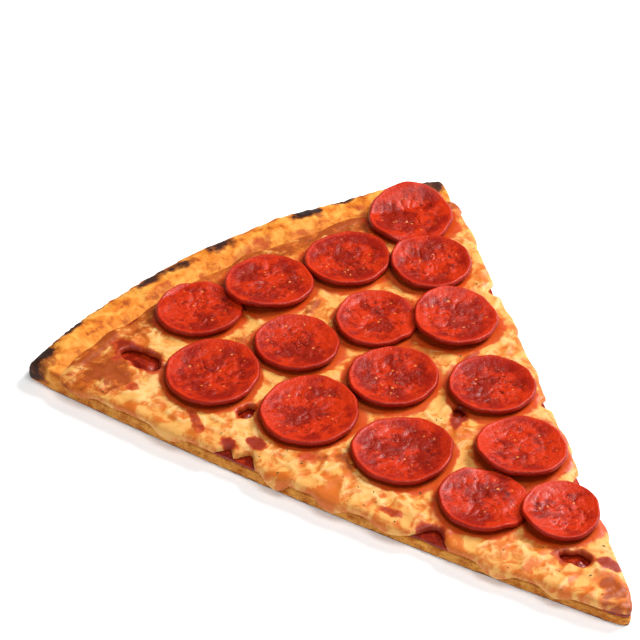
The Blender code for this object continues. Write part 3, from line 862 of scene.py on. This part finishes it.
# %% Where the cheese is oily, browned or thin, and a patch of painted shade
# Stains of sauce that show through, and one patch of painted shade beside a slice of pepperoni:
# x, distance up from the true corner, half length, half width, turn in degrees, strength
STAINS_AND_SHADE = (
    (-62.0, 218.0, 8.0, 4.5, 100, 0.9),
    (-59.5, 204.5, 8.0, 3.5, 80, 0.9),
    (-67.0, 216.0, 5.0, 3.5, 20, 0.8),
    (-74.0, 198.0, 3.6, 2.6, 40, 0.7),
    (-65.5, 170.0, 6.5, 2.4, 75, 0.8),
    (-61.9, 153.3, 4.5, 3.0, 90, 1.0),
    (-54.9, 146.5, 6.5, 3.2, 100, 1.0),
    (-44.0, 128.5, 6.5, 3.0, 115, 0.55),
    (-30.5, 74.5, 8.5, 4.0, 110, 1.0),
    (-36.6, 89.5, 8.0, 2.2, 110, 0.8),
    (0.0, 36.0, 9.5, 4.0, 125, 1.0),
    (7.5, 26.0, 6.0, 3.2, 115, 1.0),
    # Partly painted shade: dark red just left of pepperoni slice 9, around a hole where sauce shows
    (13.5, 116.0, 8.0, 3.4, 45, 1.0),
    (12.0, 80.0, 5.0, 3.0, 60, 0.6),
    (39.0, 139.5, 6.5, 2.4, 20, 0.6),
)
# A browned patch of cheese, in the same terms
BROWNED = (
    (0.0, 9.0, 12.0, 8.0, 90, 0.8),
    (-76.0, 208.0, 15.0, 9.0, 95, 1.0),
    (-64.0, 229.0, 12.0, 6.0, 20, 0.9),
    (-84.0, 205.0, 9.0, 4.0, 110, 0.6),
    (-42.0, 128.0, 7.0, 5.0, 110, 0.8),
    (-36.0, 120.0, 6.0, 4.0, 80, 0.7),
    (13.0, 232.0, 13.0, 6.0, 5, 0.9),
    (52.0, 229.0, 9.0, 7.0, 30, 0.9),
    (6.0, 199.0, 8.0, 6.0, 60, 0.7),
    (-28.0, 197.0, 8.0, 5.0, 0, 0.7),
    (-24.0, 169.0, 6.0, 4.0, 40, 0.6),
    (1.0, 17.0, 8.0, 6.0, 90, 0.8),
    (39.0, 190.0, 6.0, 4.0, 90, 0.5),
)


def patches(table, x, y, wavelength, layer):
    """The strongest of the patches at each point, with ragged edges."""
    ragged = 0.55 * ripple(x, y, wavelength, layer) + 0.35 * ripple(x, y, wavelength / 2.6, layer + 1)
    strongest = 0 * x
    for px, up, a, b, degrees, strength in table:
        dx, dy, t = x - px * MM, y - TIP_Y - up * MM, math.radians(degrees)
        along, across = dx * math.cos(t) + dy * math.sin(t), dy * math.cos(t) - dx * math.sin(t)
        share = np.hypot(along / (a * MM), across / (b * MM)) + ragged
        strongest = np.maximum(strongest, strength * smooth(1.15, 0.45, share))
    return strongest


x, y, _ = points_of(cheese)
clear = pepperoni_clear(x, y)
halo_width = 1.8 * MM + 4.4 * MM * np.clip(0.35 + 1.4 * ripple(x, y, 12 * MM, 51), 0, 1)
paint(cheese, "oil", smooth(1.0, 0.25, (clear + 0.9 * MM * ripple(x, y, 3 * MM, 52)) / halo_width))
near_rim = smooth(40 * MM, 21 * MM, from_edge(x, y))
paint(cheese, "browned", np.maximum(patches(BROWNED, x, y, 9 * MM, 53), 0.75 * near_rim))
hole_share = np.min([blob_share(hole, x, y) for hole in SAUCE_HOLES], 0)
# Sauce stains and thin cheese, and a patch of painted shade beside pepperoni slice 9
paint(cheese, "thin_and_shaded", np.maximum(patches(STAINS_AND_SHADE, x, y, 6 * MM, 55), 0.8 * smooth(1.7, 1.0, hole_share)))
paint(cheese, "raised", np.clip(shred_height(x, y) / (0.8 * MM), 0, 1))
normals = np.empty(3 * len(x))
cheese.data.vertices.foreach_get("normal", normals)
paint(cheese, "open", (normals[2::3] > 0.8) & (clear > 1.5 * MM))
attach(cheese, "root")
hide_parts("cheese")

# %% [markdown]
# ### The cheese's finish
# Melted cheese is creamy where it is thick, golden where it has browned, and stained orange by the
# oil that runs out of the pepperoni. A little subsurface light keeps it from looking like plastic.

# %% The cheese's finish
melted = Finish("melted cheese")
cloud = melted.noise(15 * MM, 3, 0.55, 6.3, 0.6)
patch = melted.noise(5.5 * MM, 4, 0.6, 7.1, 0.8)
grain = melted.noise(1.5 * MM, 3, 0.6, 8.4)
raised = melted.painted("raised").steps(0.25, 1.0)
cream = melted.blend(srgb(230, 168, 86), srgb(210, 122, 42), (patch * 0.6 + cloud * 0.4).steps(0.42, 0.60))
cream = melted.blend(cream, srgb(236, 196, 130), raised * 0.7)
golden = (cloud * 0.5 + patch * 0.5 + melted.painted("browned") * 0.16 - raised * 0.04).steps(0.47, 0.60)
colour = melted.blend(cream, srgb(206, 100, 20), golden * 0.9)
brown = (melted.painted("browned") * 0.5 + patch * 0.9 - 0.15).steps(0.52, 0.78)
colour = melted.blend(colour, srgb(150, 58, 8), brown * 0.85)
oily = (melted.painted("oil") + (patch - 0.5) * 0.7).steps(0.2, 0.9)
colour = melted.blend(colour, srgb(192, 60, 10), oily * 0.92)
# Dark red of sauce that shows through, and a patch of painted shade beside pepperoni slice 9
stain_and_shade = (melted.painted("thin_and_shaded") + (patch - 0.5) * 0.9 + (grain - 0.5) * 0.4).steps(0.1, 1.0)
colour = melted.blend(colour, srgb(190, 64, 10), stain_and_shade.steps(0.0, 0.6) * 0.9)
colour = melted.blend(colour, srgb(134, 24, 4), stain_and_shade.steps(0.5, 1.1) * 0.9)
relief = patch * 0.6 + grain * 0.4
melted.set(Base_Color=colour, Roughness=0.46 - oily * 0.14 + grain * 0.12)
melted.set(Normal=melted.bump(relief, 0.5 * MM, 0.6), Specular_IOR_Level=0.35)
melted.set(Subsurface_Weight=0.10, Subsurface_Scale=2.0 * MM, Coat_Weight=0.06, Coat_Roughness=0.2)
cheese.data.materials.append(melted.material)

# %% [markdown]
# ## The pepperoni
# A slice of pepperoni shrinks and cups in the oven. Its skin stands up as a thin darker rim, the
# middle wrinkles, and pale specks dot the meat, partly fat and partly painted highlights. Each slice
# here is one closed mesh of rings, draped over what it lies on, with wrinkles that differ from slice
# to slice.


# %% One slice of pepperoni
def pepperoni_relief(number, x, y, share):
    """A wrinkled middle inside a smooth band, and a thin skin that stands up at the edge."""
    shift = 0.37 * number
    middle = smooth(0.92, 0.66, share)
    wrinkle = 0.34 * MM * ripple(x + shift, y, 6.0 * MM, 61) + 0.30 * MM * ripple(x + shift, y, 2.6 * MM, 62)
    crease = -0.35 * MM * smooth(0.16, 0.0, np.abs(ripple(x + shift, y, 4.4 * MM, 64)))
    fine = 0.10 * MM * ripple(x + shift, y, 1.3 * MM, 63)
    band = 0.45 * MM * smooth(0.66, 0.84, share) * smooth(1.0, 0.88, share)
    skin = 0.30 * MM * smooth(0.90, 0.955, share) * smooth(1.01, 0.975, share)
    return middle * (wrinkle + crease + fine) + 0.5 * band + skin


def pepperoni_mesh(number):
    px, py, radius, _ = PEPPERONI[number]
    count = 108
    top = np.concatenate((np.linspace(0.0, 0.86, 22)[1:], (0.895, 0.925, 0.95, 0.97)))
    profile = [(share, 0.0) for share in (0.25, 0.5, 0.7, 0.85, 0.93, 0.975)]
    profile += [(1.0, 0.18), (1.012, 0.42), (1.01, 0.66), (0.993, 0.88)]
    profile += [(share, 1.0) for share in top[::-1]]
    angles = 2 * math.pi * np.arange(count) / count
    wobble = 1 + 0.025 * np.sin(2 * angles + 2.1 * number) + 0.015 * np.sin(3 * angles + 1.3 * number)
    wobble += 0.008 * np.sin(7 * angles + number) + 0.006 * np.sin(13 * angles + 2 * number)
    share = np.array([s for s, _ in profile] + [0, 0])
    up = np.array([u for _, u in profile] + [0, 1])
    ring_share, ring_up = np.repeat(share[:-2], count), np.repeat(up[:-2], count)
    angle = np.tile(angles, len(profile))
    reach = radius * ring_share * np.tile(wobble, len(profile))
    x = np.append(px + reach * np.cos(angle), (px, px))
    y = np.append(py + reach * np.sin(angle), (py, py))
    ring_share, ring_up = np.append(ring_share, (0, 0)), np.append(ring_up, (0, 1))
    z = pepperoni_bottom(number, x, y) + cup_rise(number, x, y) + ring_up * PEPPERONI_THICKNESS
    z += np.where(ring_up > 0.8, pepperoni_relief(number, x, y, ring_share), 0)
    ceiling = cad_box[1][2] - 0.6 * MM  # above it wrinkles are flattened, to stay near the solids
    z = np.where(z > ceiling, ceiling + (z - ceiling) * 0.6, z)
    k = np.arange(count)
    after = (k + 1) % count
    faces = []
    for level in range(len(profile) - 1):
        low, high = level * count, (level + 1) * count
        faces += [(low + k, low + after, high + after), (low + k, high + after, high + k)]
    last = (len(profile) - 1) * count
    middle = len(profile) * count
    faces += [(after, k, np.full(count, middle)), (last + k, last + after, np.full(count, middle + 1))]
    faces = np.hstack([np.stack(f) for f in faces]).T
    slice_mesh = shape(f"pepperoni_slice_{number + 1:02d}", np.column_stack((x, y, z)), faces)
    paint(slice_mesh, "across", ring_share)
    return slice_mesh


# %% [markdown]
# ### The pepperoni's finish
# The meat is a deep orange red, browner in the middle, with pale specks in two sizes that are partly
# fat and partly painted highlights, and painted shade in the pits of its wrinkles. Oil leaves a gloss
# that is uneven, so the roughness follows noise too.

# %% The pepperoni's finish
meat = Finish("pepperoni")
blotch = meat.noise(8 * MM, 4, 0.6, 9.2)
fibre_and_pit_shade = meat.noise(1.8 * MM, 4, 0.65, 10.3, 0.8)
large_fat_and_highlights = meat.cells(3.4 * MM, offset=0.4) + (fibre_and_pit_shade - 0.5) * 0.5
small_fat_and_highlights = meat.cells(1.5 * MM, offset=0.9) + (fibre_and_pit_shade - 0.5) * 0.5
across = meat.painted("across")
within = 1 - across.steps(0.62, 0.86)
red = meat.blend(srgb(196, 44, 3), srgb(150, 20, 2), blotch.steps(0.40, 0.60))
red = meat.blend(red, srgb(138, 26, 4), within * blotch.steps(0.44, 0.62) * 0.7)
# Painted shade: dark red in the pits of the wrinkles, where the fine relief is low
red = meat.blend(red, srgb(96, 10, 3), within * (1 - fibre_and_pit_shade.steps(0.34, 0.48)) * 0.8)
# Pale specks in two sizes, partly fat and partly painted highlights
red = meat.blend(red, srgb(222, 84, 30), (1 - small_fat_and_highlights.steps(0.06, 0.22)) * (within * 0.6 + 0.1))
red = meat.blend(red, srgb(232, 132, 70), (1 - large_fat_and_highlights.steps(0.05, 0.17)) * (within * 0.85 + 0.05))
red = meat.blend(red, srgb(204, 48, 12), across.steps(0.86, 0.93) * 0.5)
red = meat.blend(red, srgb(142, 18, 4), across.steps(0.955, 1.0) * 0.75)
relief = fibre_and_pit_shade * 0.6 + blotch * 0.15 + small_fat_and_highlights.steps(0.0, 0.4) * 0.25
meat.set(Base_Color=red, Roughness=0.34 + fibre_and_pit_shade * 0.14, Normal=meat.bump(relief, 0.7 * MM, 0.7))
meat.set(Specular_IOR_Level=0.2, Coat_Weight=0.06, Coat_Roughness=0.12)
meat.set(Subsurface_Weight=0.03, Subsurface_Scale=1 * MM)

for number in range(len(PEPPERONI)):
    piece = pepperoni_mesh(number)
    piece.data.materials.append(meat.material)
    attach(piece, "root")
    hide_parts(f"pepperoni_{number + 1:02d}")

# %% [markdown]
# ## Dried herbs
# Tiny leaves of dried herbs lie about on the open cheese. One tree of Geometry Nodes scatters
# them over it with a fixed seed, and turns them into plain mesh at their true size.

# %% A tree that scatters leaves
LEAVES = {"Leaves per square metre": 7000.0, "Leaf length": 0.55 * MM, "Seed": 5}


def leaf_tree(material):
    """Flat leaves on the faces of a ground, where its painted number "open" is above zero."""
    tree = bpy.data.node_groups.new("scattered leaves", "GeometryNodeTree")
    face = tree.interface
    face.new_socket("Ground", in_out="INPUT", socket_type="NodeSocketGeometry")
    for name, value in LEAVES.items():
        kind = "NodeSocketInt" if isinstance(value, int) else "NodeSocketFloat"
        face.new_socket(name, in_out="INPUT", socket_type=kind)
    face.new_socket("Leaves", in_out="OUTPUT", socket_type="NodeSocketGeometry")

    def node(kind, settings=None, **values):
        made = tree.nodes.new(kind)
        for key, value in (settings or {}).items():
            setattr(made, key, value)
        for key, value in values.items():
            made.inputs[key.replace("_", " ")].default_value = value
        return made

    given, result = node("NodeGroupInput"), node("NodeGroupOutput")
    where = node("GeometryNodeInputNamedAttribute", {"data_type": "FLOAT"}, Name="open")
    points = node("GeometryNodeDistributePointsOnFaces", {"distribute_method": "RANDOM"})
    leaf = node("GeometryNodeMeshIcoSphere", Subdivisions=1)
    vector = {"data_type": "FLOAT_VECTOR"}
    size = node("FunctionNodeRandomValue", vector, Min=(0.5, 0.35, 0.16), Max=(1.5, 0.7, 0.24))
    spin = node("FunctionNodeRandomValue", vector, Min=(-0.2, -0.2, 0), Max=(0.2, 0.2, 6.28))
    turned = node("FunctionNodeRotateRotation", {"rotation_space": "LOCAL"})
    placed = node("GeometryNodeInstanceOnPoints")
    real, dressed = node("GeometryNodeRealizeInstances"), node("GeometryNodeSetMaterial", Material=material)
    for out, into in (
        (given.outputs["Ground"], points.inputs["Mesh"]),
        (where.outputs["Attribute"], points.inputs["Selection"]),
        (given.outputs["Leaves per square metre"], points.inputs["Density"]),
        (given.outputs["Seed"], points.inputs["Seed"]),
        (given.outputs["Leaf length"], leaf.inputs["Radius"]),
        (points.outputs["Points"], placed.inputs["Points"]),
        (leaf.outputs["Mesh"], placed.inputs["Instance"]),
        (points.outputs["Rotation"], turned.inputs["Rotation"]),
        (spin.outputs["Value"], turned.inputs["Rotate By"]),
        (turned.outputs["Rotation"], placed.inputs["Rotation"]),
        (size.outputs["Value"], placed.inputs["Scale"]),
        (placed.outputs["Instances"], real.inputs["Geometry"]),
        (real.outputs["Geometry"], dressed.inputs["Geometry"]),
        (dressed.outputs["Geometry"], result.inputs["Leaves"]),
    ):
        tree.links.new(out, into)
    return tree


# %% The leaves
dried = Finish("dried herbs")
browner = dried.noise(4 * MM).steps(0.42, 0.58)
dried.set(Base_Color=dried.blend(srgb(66, 62, 18), srgb(116, 78, 22), browner), Roughness=0.8)
herbs = bpy.data.objects.new("herbs", cheese.data)
bpy.context.scene.collection.objects.link(herbs)
scatter = herbs.modifiers.new("scatter", "NODES")
scatter.node_group = leaf_tree(dried.material)
for socket in scatter.node_group.interface.items_tree:
    if socket.in_out == "INPUT" and socket.name in LEAVES:
        scatter[socket.identifier] = LEAVES[socket.name]
leaves = bpy.data.meshes.new_from_object(herbs.evaluated_get(bpy.context.evaluated_depsgraph_get()))
herbs.modifiers.remove(scatter)
herbs.data = leaves
print("herbs", len(leaves.polygons), "triangles")
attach(herbs, "root")

# %% [markdown]
# ## The floor, the lights and the camera
# A product photograph is lit softly on white. A large light from the right shapes the slice and
# puts a sheen on the oil, another stands high over the front, a third fills from the left, and the
# pale floor bounces the rest.

# %% The floor
FLOOR_REACH = 3.0
floor_mesh = bpy.data.meshes.new("floor")
corners = [(FLOOR_REACH * a, FLOOR_REACH * b, 0) for a, b in ((-1, -1), (1, -1), (1, 1), (-1, 1))]
floor_mesh.from_pydata(corners, [], [(0, 1, 2, 3)])
floor = bpy.data.objects.new("floor", floor_mesh)
bpy.context.scene.collection.objects.link(floor)
paper = Finish("white paper")
paper.set(Base_Color=paper.blend(srgb(250, 250, 249), srgb(248, 248, 248), paper.noise(0.2)), Roughness=0.9)
paper.set(Emission_Color=(1, 1, 1, 1), Emission_Strength=0.24, Specular_IOR_Level=0.1)
floor_mesh.materials.append(paper.material)
floor.location.z = -0.05 * MM


# %% The lights
def soft_light(name, azimuth, elevation, distance, size, power):
    a, e = math.radians(azimuth), math.radians(elevation)
    away = Vector((math.sin(a) * math.cos(e), -math.cos(a) * math.cos(e), math.sin(e)))
    lamp = bpy.data.lights.new(name, "AREA")
    lamp.size, lamp.energy = size, power
    holder = bpy.data.objects.new(name, lamp)
    holder.location = away * distance
    holder.rotation_euler = away.to_track_quat("Z", "Y").to_euler()
    bpy.context.scene.collection.objects.link(holder)


soft_light("key light", 88, 44, 1.3, 0.5, 21)
soft_light("top light", 10, 72, 1.4, 0.6, 9)
soft_light("fill light", 285, 35, 1.5, 1.0, 5)

world = bpy.data.worlds.new("studio")
world.use_nodes = True
world.node_tree.nodes["Background"].inputs["Color"].default_value = (1, 1, 1, 1)
world.node_tree.nodes["Background"].inputs["Strength"].default_value = 0.11
bpy.context.scene.world = world
bpy.context.scene.view_settings.view_transform = "Standard"

# %% [markdown]
# ### The camera
# It stands where the photograph was taken: about 41 degrees above the table and 37 degrees round
# to the left, with a long lens. It looks a little above the slice, as the photograph does.

# %% The camera
CAMERA_DISTANCE = 1150 * MM
CAMERA_AZIMUTH = math.radians(-36.68)
CAMERA_ELEVATION = math.radians(40.57)
TARGET = Vector((0, TIP_Y + 167.6 * MM, 0))
AIM_RIGHT, AIM_UP = -9.2 * MM, 19.9 * MM
LENS = 174.3

back = Vector(
    (
        math.sin(CAMERA_AZIMUTH) * math.cos(CAMERA_ELEVATION),
        -math.cos(CAMERA_AZIMUTH) * math.cos(CAMERA_ELEVATION),
        math.sin(CAMERA_ELEVATION),
    )
)
right = Vector((math.cos(CAMERA_AZIMUTH), math.sin(CAMERA_AZIMUTH), 0))
above = back.cross(right)
stand = TARGET + back * CAMERA_DISTANCE
aim = TARGET + right * AIM_RIGHT + above * AIM_UP
camera = bpy.data.objects.new("camera", bpy.data.cameras.new("camera"))
camera.data.lens = LENS
camera.location = stand
camera.rotation_euler = (stand - aim).to_track_quat("Z", "Y").to_euler()
bpy.context.scene.collection.objects.link(camera)
bpy.context.scene.camera = camera
